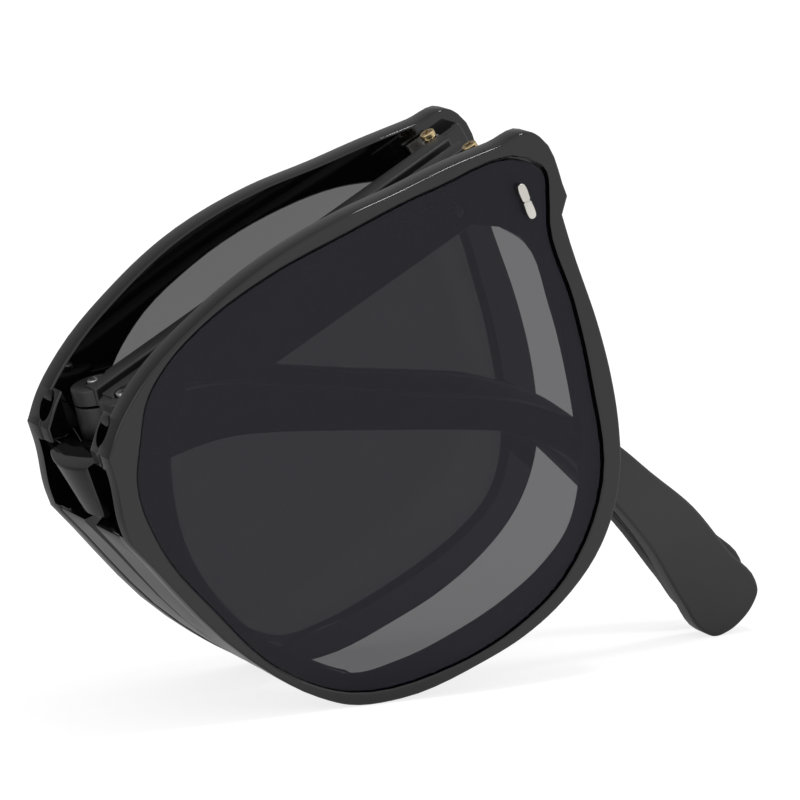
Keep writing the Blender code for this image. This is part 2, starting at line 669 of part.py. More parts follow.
for side, name in SIDES:
    bridge_axis = axis_empty(name + "_bridge_axis", (BRIDGE_INSET, side * BRIDGE_AXIS, BRIDGE_W))
    temple_axis = axis_empty(name + "_temple_axis", (HINGE_U, side * TEMPLE_AXIS, HINGE_W))
    mid_axis = axis_empty(name + "_mid_axis", (MID_U, side * MID_DEPTH, HINGE_W))
    rim, lens = make_rim(side, name)
    pin, nut = make_bridge_screw(side, name)
    rim_leaf, temple_leaf, temple_pin = make_endpiece_hinge(side, name)
    front, rear, mid_pin, insert = make_temple(side, name)
    finished(rim, bridge_axis, BLACK)
    finished(lens, bridge_axis, SMOKE)
    finished(pin, bridge_axis, BRASS)
    finished(nut, bridge_axis, BRASS)
    finished(make_badge(side, name), bridge_axis, SILVER)
    finished(rim_leaf, bridge_axis, SILVER)
    finished(temple_pin, bridge_axis, BRASS)
    finished(temple_leaf, temple_axis, SILVER)
    finished(front, temple_axis, CHARCOAL)
    finished(mid_pin, temple_axis, SILVER)
    finished(insert, temple_axis, BRASS)
    finished(rear, mid_axis, CHARCOAL)
finished(make_link(), pack, BLACK)

# Lean the pack until its rims and a tip touch the floor together
shallow, steep = 0, math.radians(60)
for _ in range(24):
    middle = (shallow + steep) / 2
    if corners_of("_rim", -middle)[:, 2].min() < corners_of("_tip", -middle)[:, 2].min():
        steep = middle
    else:
        shallow = middle
everything = corners_of("", -middle)
low, high = everything.min(axis=0), everything.max(axis=0)
pack.location = (-(low[0] + high[0]) / 2, -(low[1] + high[1]) / 2, -low[2])
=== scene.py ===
"""Folding sunglasses in their flat pack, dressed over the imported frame.

Left pieces are drawn lying flat: x runs from the bridge to the endpiece, y up the lens,
z from the pack's middle out to the lens, all in millimetres. Right pieces mirror them.
"""

import json
import math

import bpy
import bmesh
from mathutils import Matrix, Vector


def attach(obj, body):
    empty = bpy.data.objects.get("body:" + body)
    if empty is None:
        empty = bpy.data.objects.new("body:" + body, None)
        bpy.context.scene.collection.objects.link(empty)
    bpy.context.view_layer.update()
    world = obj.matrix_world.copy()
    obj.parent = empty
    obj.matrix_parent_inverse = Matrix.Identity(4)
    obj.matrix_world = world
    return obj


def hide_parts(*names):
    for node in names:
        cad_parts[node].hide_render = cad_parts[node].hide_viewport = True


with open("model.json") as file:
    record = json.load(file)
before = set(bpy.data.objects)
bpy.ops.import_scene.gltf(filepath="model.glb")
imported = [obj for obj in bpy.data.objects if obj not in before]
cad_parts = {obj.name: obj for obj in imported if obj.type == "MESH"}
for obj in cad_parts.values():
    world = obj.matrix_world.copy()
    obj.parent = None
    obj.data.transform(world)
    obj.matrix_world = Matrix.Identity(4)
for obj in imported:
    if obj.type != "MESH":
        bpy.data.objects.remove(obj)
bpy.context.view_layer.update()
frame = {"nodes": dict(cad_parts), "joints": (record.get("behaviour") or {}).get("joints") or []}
bpy.ops.object.select_all(action="DESELECT")

MM = 0.001

# Rims and lenses
RIM_WIDTH, RIM_HEIGHT = 64.9, 55.4
RIM_BACK, RIM_FRONT, RIM_ROUND = 8.65, 12.25, 0.25
LENS_BACK, LENS_FRONT, LENS_ROUND = 10.95, 11.95, 0.15
LENS_GROW, LENS_SHIFT = 0.1, 0.17
POCKET_FLOOR, POCKET_EDGE, GAP = 10.65, 0.18, 0.3
BOW, BOW_CENTRE, BOW_REACH = 1.2, 32.45, 24.0
BOW_CUTS_RIM, BOW_CUTS_LENS = 6, 8

# How deep a lug or boss goes into the rim that carries it, and how far a cutter stands out
FUSE, BEYOND = 0.55, 1

# Bridge hinge: its axis, its pin, and the lugs on the rim
BRIDGE_U, BRIDGE_Y, BRIDGE_W = 4.8, 8.3, 41.65
PIN_BORE = 0.9
SCREW_SEAT, SCREW_SEAT_LOW = 1.45, 46.1
NUT_SEAT, NUT_SEAT_HIGH = 1.6, 36.6
SLOT_END, SLOT_LOW, SLOT_HIGH, SLOT_DEPTH = 6.5, 37.8, 45.5, 10.0
LUG_LOW, LUG_HIGH, LUG_BACK, LUG_INSET = 35.3, 60.0, 6.2, 0.15
SLOT = (-2, SLOT_LOW, 5), (SLOT_END, SLOT_HIGH, SLOT_DEPTH)
BOSS = (60.6, 40.9, 6.35), (63.6, 48.3, RIM_BACK + FUSE)

# Bridge link: its face falls away towards the sides, and its back stays flat
LINK_LOW, LINK_HIGH, LINK_FACE, LINK_BACK = 38.1, 45.2, 0.55, 4.7
ARM_FACE, ARM_INSET, ARM_BACK_INSET = 3.35, 0.2, 0.1
LINK_KNUCKLE, LINK_KNUCKLE_INSET = 1.4, 0.1
CROWN, CROWN_END, CROWN_DEPTH, CROWN_STEP = 0.035, 3.3, 2.75, 0.7

# Moulded nose pads on the rims
PAD_TOP, PAD_LOW, PAD_HIGH, PAD_REACH = 0.2, 5.5, 37.5, 15.0
PAD_NEAR, PAD_FUSE, PAD_INSET, PAD_OPENING = 0.05, 0.8, 0.08, 0.07
PAD_SLANT, PAD_LEAN = 13.0, math.radians(39.6)
PAD_ROOM = (-2, PAD_LOW, -2), (PAD_REACH, PAD_HIGH, 13)
PAD_INNER = (BRIDGE_U, PAD_LOW - 2, PAD_TOP), (PAD_REACH + 2, PAD_HIGH + 2, 14)
PAD_TAPER = (-3, -25, -30), (PAD_REACH + 3, 0, 30)

# Temples: the front half lies nearer the pack's middle than the rear half
TEMPLE_NEAR, TEMPLE_FAR, TEMPLE_ROUND = 1.05, 4.05, 0.3
REAR_NEAR, REAR_FAR, REAR_ROUND = 4.35, 7.35, 0.35
TEMPLE_HEIGHT, TEMPLE_END = 8.4, 59.8
HINGE_U, HINGE_W, HINGE_Y = 59.2, 45.3, 5.45
REAR_RUN, REAR_DROP, TIP_ROUND = 51.7, 63.3, 2.4
TIP_LEAN, LEAN_START, LEAN_CUTS = 3.5, HINGE_W - REAR_DROP * 0.58, 8
RIGHT_PLAY = math.radians(1.2)

# Middle hinge of a temple
MID_U, MID_Y, MID_TILT, MID_END = 9.0, 4.2, math.radians(16), 1.6
MID_RADIUS, MID_PLAY, KNUCKLE_RADIUS, KNUCKLE_INSET = 3.15, 0.35, 3.12, 0.15
MID_INNER, MID_ROOM = 1.9, 2.2
MID_SEAT, MID_SEAT_DEPTH = 1.25, 0.9

# Rivet badge: half its width, half its straight length, and the notch at its waist
BADGE_HALF, BADGE_STRAIGHT, BADGE_NOTCH = 0.53, 1.7, 0.17
BADGE_BACK, BADGE_FRONT, BADGE_ROUND, BADGE_SEAM = -0.4, 0.5, 0.22, 0.1
BADGE_PLACE, BADGE_TURN = (59.6, 43.05, 12.25), math.radians(-7.5)

# Screws: the head's radius, lower and upper face, the shaft's radius and end, the recess's turn
BRIDGE_SCREW = 1.1, 46.3, 47.1, 0.6, 35.4, 20
TEMPLE_SCREW = 0.9, 49.3, 50.0, 0.5, 43.2, 35
MID_SCREW = 1.05, 3.5, 4.5, 0.6, -3.3, 10
RECESS_REACH, RECESS_WIDTH, RECESS_DEPTH = 0.66, 0.13, 0.35

# Outlines as shares of the rim's width and height, each with whether it is a corner
RIM_SHARES = (
    (0.042, 0.852, True), (0.082, 0.892, False), (0.153, 0.937, False), (0.305, 0.984, False),
    (0.421, 1.0, False), (0.609, 0.986, False), (0.727, 0.957, False), (0.827, 0.935, False),
    (0.925, 0.908, False), (0.99, 0.89, False), (0.999, 0.872, False), (0.991, 0.731, True),
    (0.966, 0.704, True), (0.954, 0.639, False), (0.925, 0.448, False), (0.903, 0.35, False),
    (0.867, 0.238, False), (0.832, 0.162, False), (0.777, 0.092, False), (0.73, 0.054, False),
    (0.615, 0.009, False), (0.519, 0.0, False), (0.431, 0.009, False), (0.271, 0.049, False),
    (0.186, 0.105, False), (0.146, 0.159, False), (0.074, 0.319, False), (0.0, 0.671, True),
    (0.006, 0.711, False), (0.032, 0.8, False),
)
LENS_SHARES = (
    (0.109, 0.838, False), (0.157, 0.903, False), (0.206, 0.935, False), (0.299, 0.965, False),
    (0.441, 0.973, False), (0.595, 0.951, False), (0.787, 0.91, False), (0.958, 0.843, False),
    (0.974, 0.814, False), (0.954, 0.747, False), (0.934, 0.704, False), (0.906, 0.538, False),
    (0.864, 0.368, False), (0.79, 0.171, False), (0.639, 0.052, False), (0.518, 0.031, False),
    (0.384, 0.045, False), (0.202, 0.13, False), (0.116, 0.262, False), (0.071, 0.449, False),
    (0.046, 0.632, False), (0.069, 0.773, False),
)
OPENING_SHARES = (
    (0.16, 0.796, False), (0.199, 0.848, False), (0.285, 0.903, False), (0.435, 0.933, False),
    (0.602, 0.926, False), (0.738, 0.89, False), (0.827, 0.839, True), (0.827, 0.785, True),
    (0.866, 0.749, True), (0.897, 0.679, False), (0.881, 0.538, False), (0.843, 0.375, False),
    (0.807, 0.264, False), (0.761, 0.164, False), (0.703, 0.105, False), (0.633, 0.079, False),
    (0.538, 0.069, False), (0.427, 0.076, False), (0.317, 0.097, False), (0.231, 0.135, False),
    (0.194, 0.184, False), (0.1, 0.392, False), (0.089, 0.605, False), (0.111, 0.688, False),
)

# The rear half's middle line: shares of its run and its drop, and of the temple's height
REAR_SHARES = (
    (0.0, 0.0, 0.94), (0.187, 0.058, 0.75), (0.295, 0.118, 0.64), (0.398, 0.181, 0.57),
    (0.571, 0.287, 0.48), (0.678, 0.352, 0.45), (0.737, 0.391, 0.45), (0.803, 0.455, 0.49),
    (0.844, 0.502, 0.52), (0.88, 0.578, 0.61), (0.913, 0.666, 0.69), (0.956, 0.784, 0.86),
    (0.981, 0.92, 1.0), (1.0, 1.0, 1.06),
)

# Joining and cutting: points merged or edges dropped below these sizes, and what a spoiled
# result shows, which is a volume that is next to nothing or too far from what it can be
CLOSE, THIN = 0.0006, 0.0004
EMPTY, LEAST_SHARE, VOLUME_SLACK, SPOILED = 0.01, 0.0005, 0.02, 1000
NUDGES = (
    (0.0, 0.0, 0.0), (0.0023, -0.0017, 0.0031), (-0.0051, 0.0043, -0.0057),
    (0.0097, 0.0031, 0.0049), (-0.0123, -0.0109, 0.0071), (0.0041, 0.0167, -0.0151),
)

# The white room: how bright the sky is to the object, and how grey gloss sees it behind
SKY_LOW, SKY_RISE, SKY_SLOPE = 0.25, 0.45, 1.6
GREY_BEHIND = 0.28
SKY_FRONT, SKY_BEHIND = -0.05, 0.7
# To glossy rays the floor glows as a painted reflection, white in front of the pack and falling to
# painted shade behind it
FLOOR_FRONT, FLOOR_BEHIND = -0.03, 0.02
FLOOR_GLOW, FLOOR_WHITE, FLOOR_DROP = 0.62, 1.8, 0.5
SOFTBOXES = (
    ("overhead_softbox", (0.1, -0.05, 0.75), 0.1, 1.1),
    ("left_softbox", (-0.6, -0.1, 0.35), 0.3, 0.3),
)
PACK_MIDDLE = (0, 0, 0.03)


def pack_place():
    """The pack's own frame, from the left bridge hinge's place and axis."""
    hinge = next(joint for joint in frame["joints"] if joint["name"] == "bridge_hinge_left")
    up = Vector(hinge["axis"]).normalized()
    through = Vector((0, 1, 0))
    along = through.cross(up)
    turn = Matrix((along, through, up)).transposed()
    origin = Vector(hinge["pos_m"]) - turn @ Vector((BRIDGE_U, -BRIDGE_Y, BRIDGE_W)) * MM
    return Matrix.Translation(origin) @ turn.to_4x4() @ Matrix.Scale(MM, 4)


PACK = pack_place()
UPRIGHT = Matrix.Rotation(math.radians(90), 4, "X")
MIRROR = Matrix.Diagonal((1, 1, -1, 1))
ACROSS_PACK = Matrix(((0, 0, 1, 0), (1, 0, 0, 0), (0, 1, 0, 0), (0, 0, 0, 1)))

# Axes of the hinges, as places whose z runs up the lens
UP_THE_LENS = Matrix.Rotation(math.radians(-90), 4, "X")
BRIDGE_AXIS = Matrix.Translation((BRIDGE_U, 0, BRIDGE_Y)) @ UP_THE_LENS
TEMPLE_AXIS = Matrix.Translation((HINGE_U, 0, HINGE_Y)) @ UP_THE_LENS
MID_AXIS = (
    Matrix.Translation((MID_U, HINGE_W, MID_Y))
    @ Matrix.Rotation(-MID_TILT, 4, "Z") @ UP_THE_LENS
)


def share_rows(shares):
    return [(Vector((u * RIM_WIDTH, w * RIM_HEIGHT)), corner) for u, w, corner in shares]


RIM_LOOP = share_rows(RIM_SHARES)
LENS_LOOP = share_rows(LENS_SHARES)
OPENING_LOOP = share_rows(OPENING_SHARES)


def only(piece):
    """Select one piece and make it active."""
    bpy.ops.object.select_all(action="DESELECT")
    piece.select_set(True)
    bpy.context.view_layer.objects.active = piece


def fix_place(piece):
    """Move a piece's place and size from its object into its mesh."""
    only(piece)
    bpy.ops.object.transform_apply(location=True, rotation=True, scale=True)
    return piece


def merged(piece):
    """Merge a piece's doubled points and turn its faces outwards."""
    only(piece)
    bpy.ops.object.mode_set(mode="EDIT")
    bpy.ops.mesh.select_all(action="SELECT")
    bpy.ops.mesh.remove_doubles(threshold=0.002)
    bpy.ops.mesh.normals_make_consistent(inside=False)
    bpy.ops.object.mode_set(mode="OBJECT")
    return piece


def plate(name, loops, near, far, rounding=0.0, roundness=2, grow=0.0, steps=5):
    """A plate with rounded edges, drawn as a flat curve through each loop's points."""
    bpy.ops.curve.primitive_bezier_circle_add(location=(0, 0, (near + far) / 2))
    drawn = bpy.context.object
    curve = drawn.data
    curve.dimensions = "2D"
    curve.fill_mode = "BOTH"
    curve.resolution_u = steps
    curve.extrude = (far - near) / 2 - rounding
    curve.bevel_depth = rounding
    curve.bevel_resolution = roundness
    curve.offset = grow - rounding
    curve.splines.clear()
    for rows in loops:
        spline = curve.splines.new("BEZIER")
        spline.bezier_points.add(len(rows) - 1)
        for index, (point, (place, corner)) in enumerate(zip(spline.bezier_points, rows)):
            arrive, leave = place - rows[index - 1][0], rows[(index + 1) % len(rows)][0] - place
            through = arrive / arrive.length_squared + leave / leave.length_squared
            through.normalize()
            point.co = (*place, 0)
            point.handle_left_type = point.handle_right_type = "FREE"
            point.handle_left = (*(place - (arrive if corner else through * arrive.length) / 3), 0)
            point.handle_right = (*(place + (leave if corner else through * leave.length) / 3), 0)
        spline.use_cyclic_u = True
    only(drawn)
    bpy.ops.object.convert(target="MESH")
    piece = bpy.context.object
    piece.name = name
    return merged(fix_place(piece))


def rounded(piece, width):
    """Round a piece's sharp edges."""
    only(piece)
    edge = piece.modifiers.new("Rounding", "BEVEL")
    edge.width = width
    edge.segments = 3
    edge.limit_method = "ANGLE"
    edge.angle_limit = math.radians(50)
    bpy.ops.object.modifier_apply(modifier=edge.name)
    return piece


def block(name, low, high, rounding=0.0):
    """A box between two corners, with rounded edges where it keeps them."""
    size = [b - a for a, b in zip(low, high)]
    middle = [(a + b) / 2 for a, b in zip(low, high)]
    bpy.ops.mesh.primitive_cube_add(size=1, location=middle, scale=size)
    piece = fix_place(bpy.context.object)
    piece.name = name
    return rounded(piece, rounding) if rounding else piece


def rod(name, radius, low, high, place=Matrix(), sides=40, chamfer=0.0):
    """A round rod along the z of a place, from one height to another."""
    bpy.ops.mesh.primitive_cylinder_add(
        vertices=sides, radius=radius, depth=high - low, location=(0, 0, (low + high) / 2)
    )
    piece = fix_place(bpy.context.object)
    piece.name = name
    if chamfer:
        rounded(piece, chamfer)
    piece.data.transform(place)
    return piece


def measure(mesh):
    """A mesh's volume, and how many of its edges are open."""
    shape = bmesh.new()
    shape.from_mesh(mesh)
    volume = shape.calc_volume()
    odd = sum(len(edge.link_faces) != 2 for edge in shape.edges)
    shape.free()
    return volume, odd


def combine(piece, operation, *others):
    """Join other solids to a piece, cut them from it, or keep what it shares with each.

    Faces that all but touch can spoil a result. Where it is open, or its volume can't be right,
    the other solid moves a few microns and the step is taken again.
    """
    for other in others:
        whole, part = measure(piece.data)[0], measure(other.data)[0]
        low, high = {
            "UNION": (max(whole, part), whole + part),
            "DIFFERENCE": (whole - part, whole),
            "INTERSECT": (part * LEAST_SHARE, min(whole, part)),
        }[operation]
        before, results = piece.data.copy(), []
        for nudge in NUDGES:
            piece.data = before.copy()
            other.data.transform(Matrix.Translation(nudge))
            only(piece)
            step = piece.modifiers.new("Step", "BOOLEAN")
            step.operation = operation
            step.solver = "EXACT"
            step.object = other
            bpy.ops.object.modifier_apply(modifier=step.name)
            bpy.ops.object.mode_set(mode="EDIT")
            bpy.ops.mesh.select_all(action="SELECT")
            bpy.ops.mesh.remove_doubles(threshold=CLOSE)
            bpy.ops.mesh.dissolve_degenerate(threshold=THIN)
            bpy.ops.object.mode_set(mode="OBJECT")
            volume, odd = measure(piece.data)
            beyond = max(low - volume, volume - high, 0) > VOLUME_SLACK * max(whole, 1)
            faults = odd + SPOILED * (beyond + (volume < EMPTY))
            results.append((faults, len(results), piece.data))
            if not faults:
                break
        piece.data = min(results)[2]
        bpy.data.objects.remove(other)
    return piece


def shaded(piece, corner=35):
    """Smooth curved faces, and keep flat faces flat up to their rounded edges."""
    mesh = piece.data
    shape = bmesh.new()
    shape.from_mesh(mesh)
    for face in shape.faces:
        face.smooth = True
    for edge in shape.edges:
        if len(edge.link_faces) == 2:
            turn = edge.calc_face_angle()
            flat = max(abs(face.normal.z) for face in edge.link_faces) > 0.9999
            edge.smooth = not (turn > math.radians(corner) or flat and turn > math.radians(4))
    shape.to_mesh(mesh)
    shape.free()
    return piece


def bent(piece, normal, planes, shift):
    """Cut a piece at planes across one direction, and move its points through the thickness."""
    only(piece)
    bpy.ops.object.mode_set(mode="EDIT")
    for plane in planes:
        bpy.ops.mesh.select_all(action="SELECT")
        bpy.ops.mesh.bisect(plane_co=[plane * part for part in normal], plane_no=normal)
    bpy.ops.mesh.select_all(action="SELECT")
    bpy.ops.mesh.quads_convert_to_tris()
    bpy.ops.object.mode_set(mode="OBJECT")
    for vertex in piece.data.vertices:
        vertex.co.z += shift(vertex.co)
    return piece


def bow(place):
    """How far a rim and its lens curve outwards at a point."""
    share = (place.x - BOW_CENTRE) / BOW_REACH
    return BOW * (1 - share * share) ** 2 if abs(share) < 1 else 0


def bowed(piece, cuts):
    """Curve a rim or a lens outwards in its middle."""
    planes = [BOW_CENTRE + BOW_REACH * step / cuts for step in range(-cuts, cuts + 1)]
    return bent(piece, (1, 0, 0), planes, bow)


def lean(place):
    """How far the rear half's tip leans towards the pack's middle at a point."""
    share = min(max((LEAN_START - place.y) / (LEAN_START - HINGE_W + REAR_DROP), 0), 1)
    return -TIP_LEAN * share * share * (3 - 2 * share)


def crown(place):
    """How far the link's face falls away at a point."""
    return place.x ** 2 * CROWN * max(CROWN_END - place.z, 0) / CROWN_DEPTH


def dress(piece, name, body, finish, node):
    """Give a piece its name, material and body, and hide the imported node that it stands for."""
    piece.name = piece.data.name = name
    piece.data.materials.clear()
    piece.data.materials.append(finish)
    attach(piece, body)
    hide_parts(node)


def stand(piece, mirrored=False):
    """Turn a finished flat piece upright, into its place in the pack."""
    if mirrored:
        piece.data.transform(MIRROR)
        piece.data.flip_normals()
    piece.data.transform(PACK @ UPRIGHT)
    piece.data.update()
    return piece


def twin(piece):
    """A copy of a piece, with a mesh of its own."""
    copy = piece.copy()
    copy.data = piece.data.copy()
    bpy.context.scene.collection.objects.link(copy)
    return copy


def pair(piece, node, body, finish):
    """Place the left piece and its mirrored twin."""
    for one, side in ((piece, "left"), (twin(piece), "right")):
        stand(one, side == "right")
        dress(one, f"dressed_{side}_{node}", f"{side}_{body}", finish, f"{side}_{node}")


class Field:
    """One output of a shader node. An expression on fields adds the Math nodes for it."""

    def __init__(self, tree, socket):
        self.tree = tree
        self.socket = socket

    def maths(self, operation, *values):
        return add_node(self.tree, "Math", dict(enumerate(values)), {"operation": operation})

    def __add__(self, other): return self.maths("ADD", self, other)
    def __radd__(self, other): return self.maths("ADD", other, self)
    def __sub__(self, other): return self.maths("SUBTRACT", self, other)
    def __rsub__(self, other): return self.maths("SUBTRACT", other, self)
    def __mul__(self, other): return self.maths("MULTIPLY", self, other)
    def __rmul__(self, other): return self.maths("MULTIPLY", other, self)


def feed(tree, socket, value):
    """Link a field to a socket, or set a plain value on it."""
    if isinstance(value, Field):
        tree.links.new(value.socket, socket)
    else:
        socket.default_value = value


def add_node(tree, kind, sockets=(), settings=(), output=0):
    """Any shader node: its settings first, then the values or links of its sockets."""
    node = tree.nodes.new("ShaderNode" + kind)
    for key, value in dict(settings).items():
        setattr(node, key, value)
    for key, value in dict(sockets).items():
        feed(tree, node.inputs[key], value)
    return Field(tree, node.outputs[output])


class Finish:
    """A material, and the nodes that vary its surface."""

    def __init__(self, name):
        self.material = bpy.data.materials.new(name)
        self.material.use_nodes = True
        self.tree = self.material.node_tree
        self.surface = self.tree.nodes["Principled BSDF"]

    def node(self, kind, sockets=(), settings=(), output=0):
        return add_node(self.tree, kind, sockets, settings, output)

    def set(self, **inputs):
        for key, value in inputs.items():
            feed(self.tree, self.surface.inputs[key.replace("_", " ")], value)

    def noise(self, scale, detail=3.0, roughness=0.5, stretch=(1, 1, 1)):
        place = self.node("TexCoord", output="Object")
        place = self.node("Mapping", {"Vector": place, "Scale": stretch})
        return self.node(
            "TexNoise",
            {"Vector": place, "Scale": scale, "Detail": detail, "Roughness": roughness},
        )

    def ramp(self, field, low, high):
        return self.node("MapRange", {"Value": field, "From Min": low, "From Max": high})

    def blend(self, mask, dark, light):
        colours = {0: mask, 6: (*dark, 1), 7: (*light, 1)}
        return self.node("Mix", colours, {"data_type": "RGBA"}, output=2)

    def bump(self, height, distance, strength):
        return self.node(
            "Bump", {"Height": height, "Distance": distance, "Strength": strength}
        )


def gloss_black():
    finish = Finish("gloss_black_acetate")
    haze = finish.noise(140, 4)
    lint = finish.ramp(finish.noise(2600, 2, 0.7), 0.66, 0.74)
    grain = finish.noise(900, 3)
    finish.set(
        Base_Color=finish.blend(haze, (0.0015, 0.0015, 0.002), (0.004, 0.004, 0.0045)),
        Roughness=0.03 + haze * 0.04 + lint * 0.06,
        Normal=finish.bump(grain, 0.000004, 0.5),
        IOR=1.5,
    )
    return finish.material


def satin_charcoal():
    finish = Finish("satin_charcoal_plastic")
    cloud = finish.noise(120, 3)
    grain = finish.noise(5200, 3, 0.6)
    finish.set(
        Base_Color=finish.blend(cloud, (0.009, 0.009, 0.01), (0.016, 0.016, 0.017)),
        Roughness=0.3 + cloud * 0.1 + grain * 0.08,
        Normal=finish.bump(grain, 0.00001, 0.7),
        IOR=1.5,
    )
    return finish.material


def smoke_lens():
    finish = Finish("smoke_grey_lens")
    smudge = finish.noise(60, 4)
    tint = finish.noise(30, 2)
    finish.set(
        Base_Color=finish.blend(tint, (0.002, 0.002, 0.011), (0.004, 0.004, 0.015)),
        Roughness=0.015 + finish.ramp(smudge, 0.5, 0.8) * 0.03,
        Alpha=0.64 + tint * 0.02,
        IOR=1.38,
    )
    return finish.material


def metal(name, dark, light, rough, spread, scratch=0.6):
    finish = Finish(name)
    patina = finish.noise(420, 4)
    lines = finish.noise(1500, 3, 0.6, (1, 1, 9))
    finish.set(
        Base_Color=finish.blend(patina, dark, light),
        Metallic=1.0,
        Roughness=rough + patina * spread + lines * spread,
        Normal=finish.bump(lines, 0.000006, scratch),
    )
    return finish.material


ACETATE = gloss_black()
CHARCOAL = satin_charcoal()
SMOKE = smoke_lens()
NICKEL = metal("nickel_hinge_leaf", (0.5, 0.49, 0.47), (0.68, 0.67, 0.65), 0.16, 0.12)
POLISHED = metal("polished_badge", (0.5, 0.48, 0.44), (0.66, 0.64, 0.6), 0.06, 0.1, 0.3)
STEEL = metal("steel_screw", (0.52, 0.52, 0.52), (0.7, 0.7, 0.69), 0.14, 0.12)
# The bridge screw's steel is painted near black: painted shade for a screw sunk deep in its
# counterbore
SHADE_PAINTED_STEEL = metal("steel_screw_painted_shade", (0.1, 0.1, 0.1), (0.2, 0.2, 0.195), 0.2, 0.14)
BRASS = metal("brass_screw", (0.5, 0.38, 0.2), (0.7, 0.55, 0.31), 0.18, 0.14)


def model_nose_pad():
    """A wall behind the rim's bridge end, cut so that it clears its twin as the bridge opens."""
    pad = plate("nose_pad", (RIM_LOOP,), PAD_NEAR, RIM_BACK + PAD_FUSE, 0.05, 0, -PAD_INSET)
    combine(pad, "INTERSECT", block("side", *PAD_ROOM, rounding=0.25))
    opening = plate(
        "through", (OPENING_LOOP,), -BEYOND, RIM_FRONT + BEYOND, roundness=0, grow=PAD_OPENING
    )
    combine(pad, "DIFFERENCE", opening)
    swing = rod("swing", BRIDGE_Y - PAD_TOP, PAD_LOW - 2, PAD_HIGH + 2, BRIDGE_AXIS, sides=96)
    combine(swing, "UNION", block("inner", *PAD_INNER))
    combine(pad, "INTERSECT", swing)
    taper = block("taper", *PAD_TAPER)
    slant = Matrix.Translation((0, PAD_SLANT, PAD_TOP)) @ Matrix.Rotation(PAD_LEAN, 4, "X")
    taper.data.transform(slant)
    return combine(pad, "DIFFERENCE", taper)


def model_rim():
    """The black front half: border, nose pad, bridge lugs, endpiece boss and lens pocket."""
    rim = plate("rim", (RIM_LOOP, OPENING_LOOP), RIM_BACK, RIM_FRONT, RIM_ROUND)
    combine(rim, "UNION", model_nose_pad())
    for low, high in ((SLOT_HIGH, LUG_HIGH), (LUG_LOW, SLOT_LOW)):
        lug = plate("lug", (RIM_LOOP,), LUG_BACK, RIM_BACK + FUSE, RIM_ROUND, grow=-LUG_INSET)
        combine(lug, "INTERSECT", block("room", (-2, low, 5), (SLOT_END, high, 11), rounding=0.2))
        combine(rim, "UNION", lug)
    combine(rim, "UNION", block("boss", *BOSS, rounding=0.3))
    combine(
        rim, "DIFFERENCE",
        plate("pocket", (LENS_LOOP,), POCKET_FLOOR, RIM_FRONT + BEYOND, roundness=0, grow=GAP),
        plate(
            "pocket_edge", (LENS_LOOP,), RIM_FRONT - POCKET_EDGE, RIM_FRONT + POCKET_EDGE,
            POCKET_EDGE, 0, GAP + POCKET_EDGE,
        ),
        block("slot", *SLOT),
        rod("pin_bore", PIN_BORE, LUG_LOW - BEYOND, RIM_HEIGHT, BRIDGE_AXIS),
        rod("screw_seat", SCREW_SEAT, SCREW_SEAT_LOW, RIM_HEIGHT + BEYOND, BRIDGE_AXIS),
        rod("nut_seat", NUT_SEAT, LUG_LOW - BEYOND, NUT_SEAT_HIGH, BRIDGE_AXIS),
    )
    return bowed(shaded(merged(rim)), BOW_CUTS_RIM)


def model_lens():
    lens = plate("lens", (LENS_LOOP,), LENS_BACK, LENS_FRONT, LENS_ROUND, grow=LENS_GROW)
    lens.data.transform(Matrix.Translation((-LENS_SHIFT, 0, 0)))
    return bowed(shaded(lens), BOW_CUTS_LENS)


def mid_end(height):
    """A point on the slanted line where both halves of a temple end, past the middle hinge."""
    return Vector((
        MID_U + height * math.sin(MID_TILT) - MID_END * math.cos(MID_TILT),
        HINGE_W + height * math.cos(MID_TILT) + MID_END * math.sin(MID_TILT),
    ))


def mid_room(low, high):
    """The room that a knuckle needs in the other half, open towards the hinge's end."""
    reach = MID_RADIUS + MID_PLAY
    room = rod("room", reach, low, high, MID_AXIS)
    side = block("side", (-6, -reach, low), (0, reach, high))
    side.data.transform(MID_AXIS)
    return combine(room, "UNION", side)


def model_front_half():
    """The temple from the endpiece to the middle hinge, with that hinge's outer knuckles."""
    half = TEMPLE_HEIGHT / 2
    rows = [
        (Vector((TEMPLE_END, HINGE_W + half)), True), (Vector((TEMPLE_END, HINGE_W - half)), True),
        (mid_end(-half), True), (mid_end(half), True),
    ]
    temple = plate("temple", (rows,), TEMPLE_NEAR, TEMPLE_FAR, TEMPLE_ROUND)
    end = half - KNUCKLE_INSET
    knuckle = rod("knuckle", KNUCKLE_RADIUS, -end, end, MID_AXIS, sides=48, chamfer=0.3)
    combine(temple, "UNION", knuckle)
    combine(
        temple, "DIFFERENCE", mid_room(-MID_ROOM, MID_ROOM),
        rod("bore", PIN_BORE, -half - BEYOND, half + BEYOND, MID_AXIS),
        rod("seat", MID_SEAT, half - MID_SEAT_DEPTH, half + BEYOND, MID_AXIS),
    )
    return shaded(merged(temple))


def rear_rows(play):
    """The rear half's outline: its upper edge, the round tip, and its lower edge back."""
    line = [
        Vector((MID_U + run * REAR_RUN, HINGE_W - drop * REAR_DROP)) for run, drop, _ in REAR_SHARES
    ]
    upper, lower = [], []
    for index, place in enumerate(line):
        along = line[min(index + 1, len(line) - 1)] - line[max(index - 1, 0)]
        along.normalize()
        side = Vector((-along.y, along.x)) * REAR_SHARES[index][2] * TEMPLE_HEIGHT / 2
        if index:
            upper.append(place + side)
            lower.append(place - side)
    end = [
        line[-1] + side * math.cos(angle) + along * TIP_ROUND * math.sin(angle)
        for angle in (math.radians(step) for step in (30, 60, 90, 120, 150))
    ]
    root = REAR_SHARES[0][2] * TEMPLE_HEIGHT / 2
    points = [mid_end(-root), mid_end(root)] + upper + end + lower[::-1]
    pivot = Vector((MID_U, HINGE_W))
    turn = Matrix.Rotation(play, 2)
    return [(pivot + turn @ (point - pivot), index < 2) for index, point in enumerate(points)]


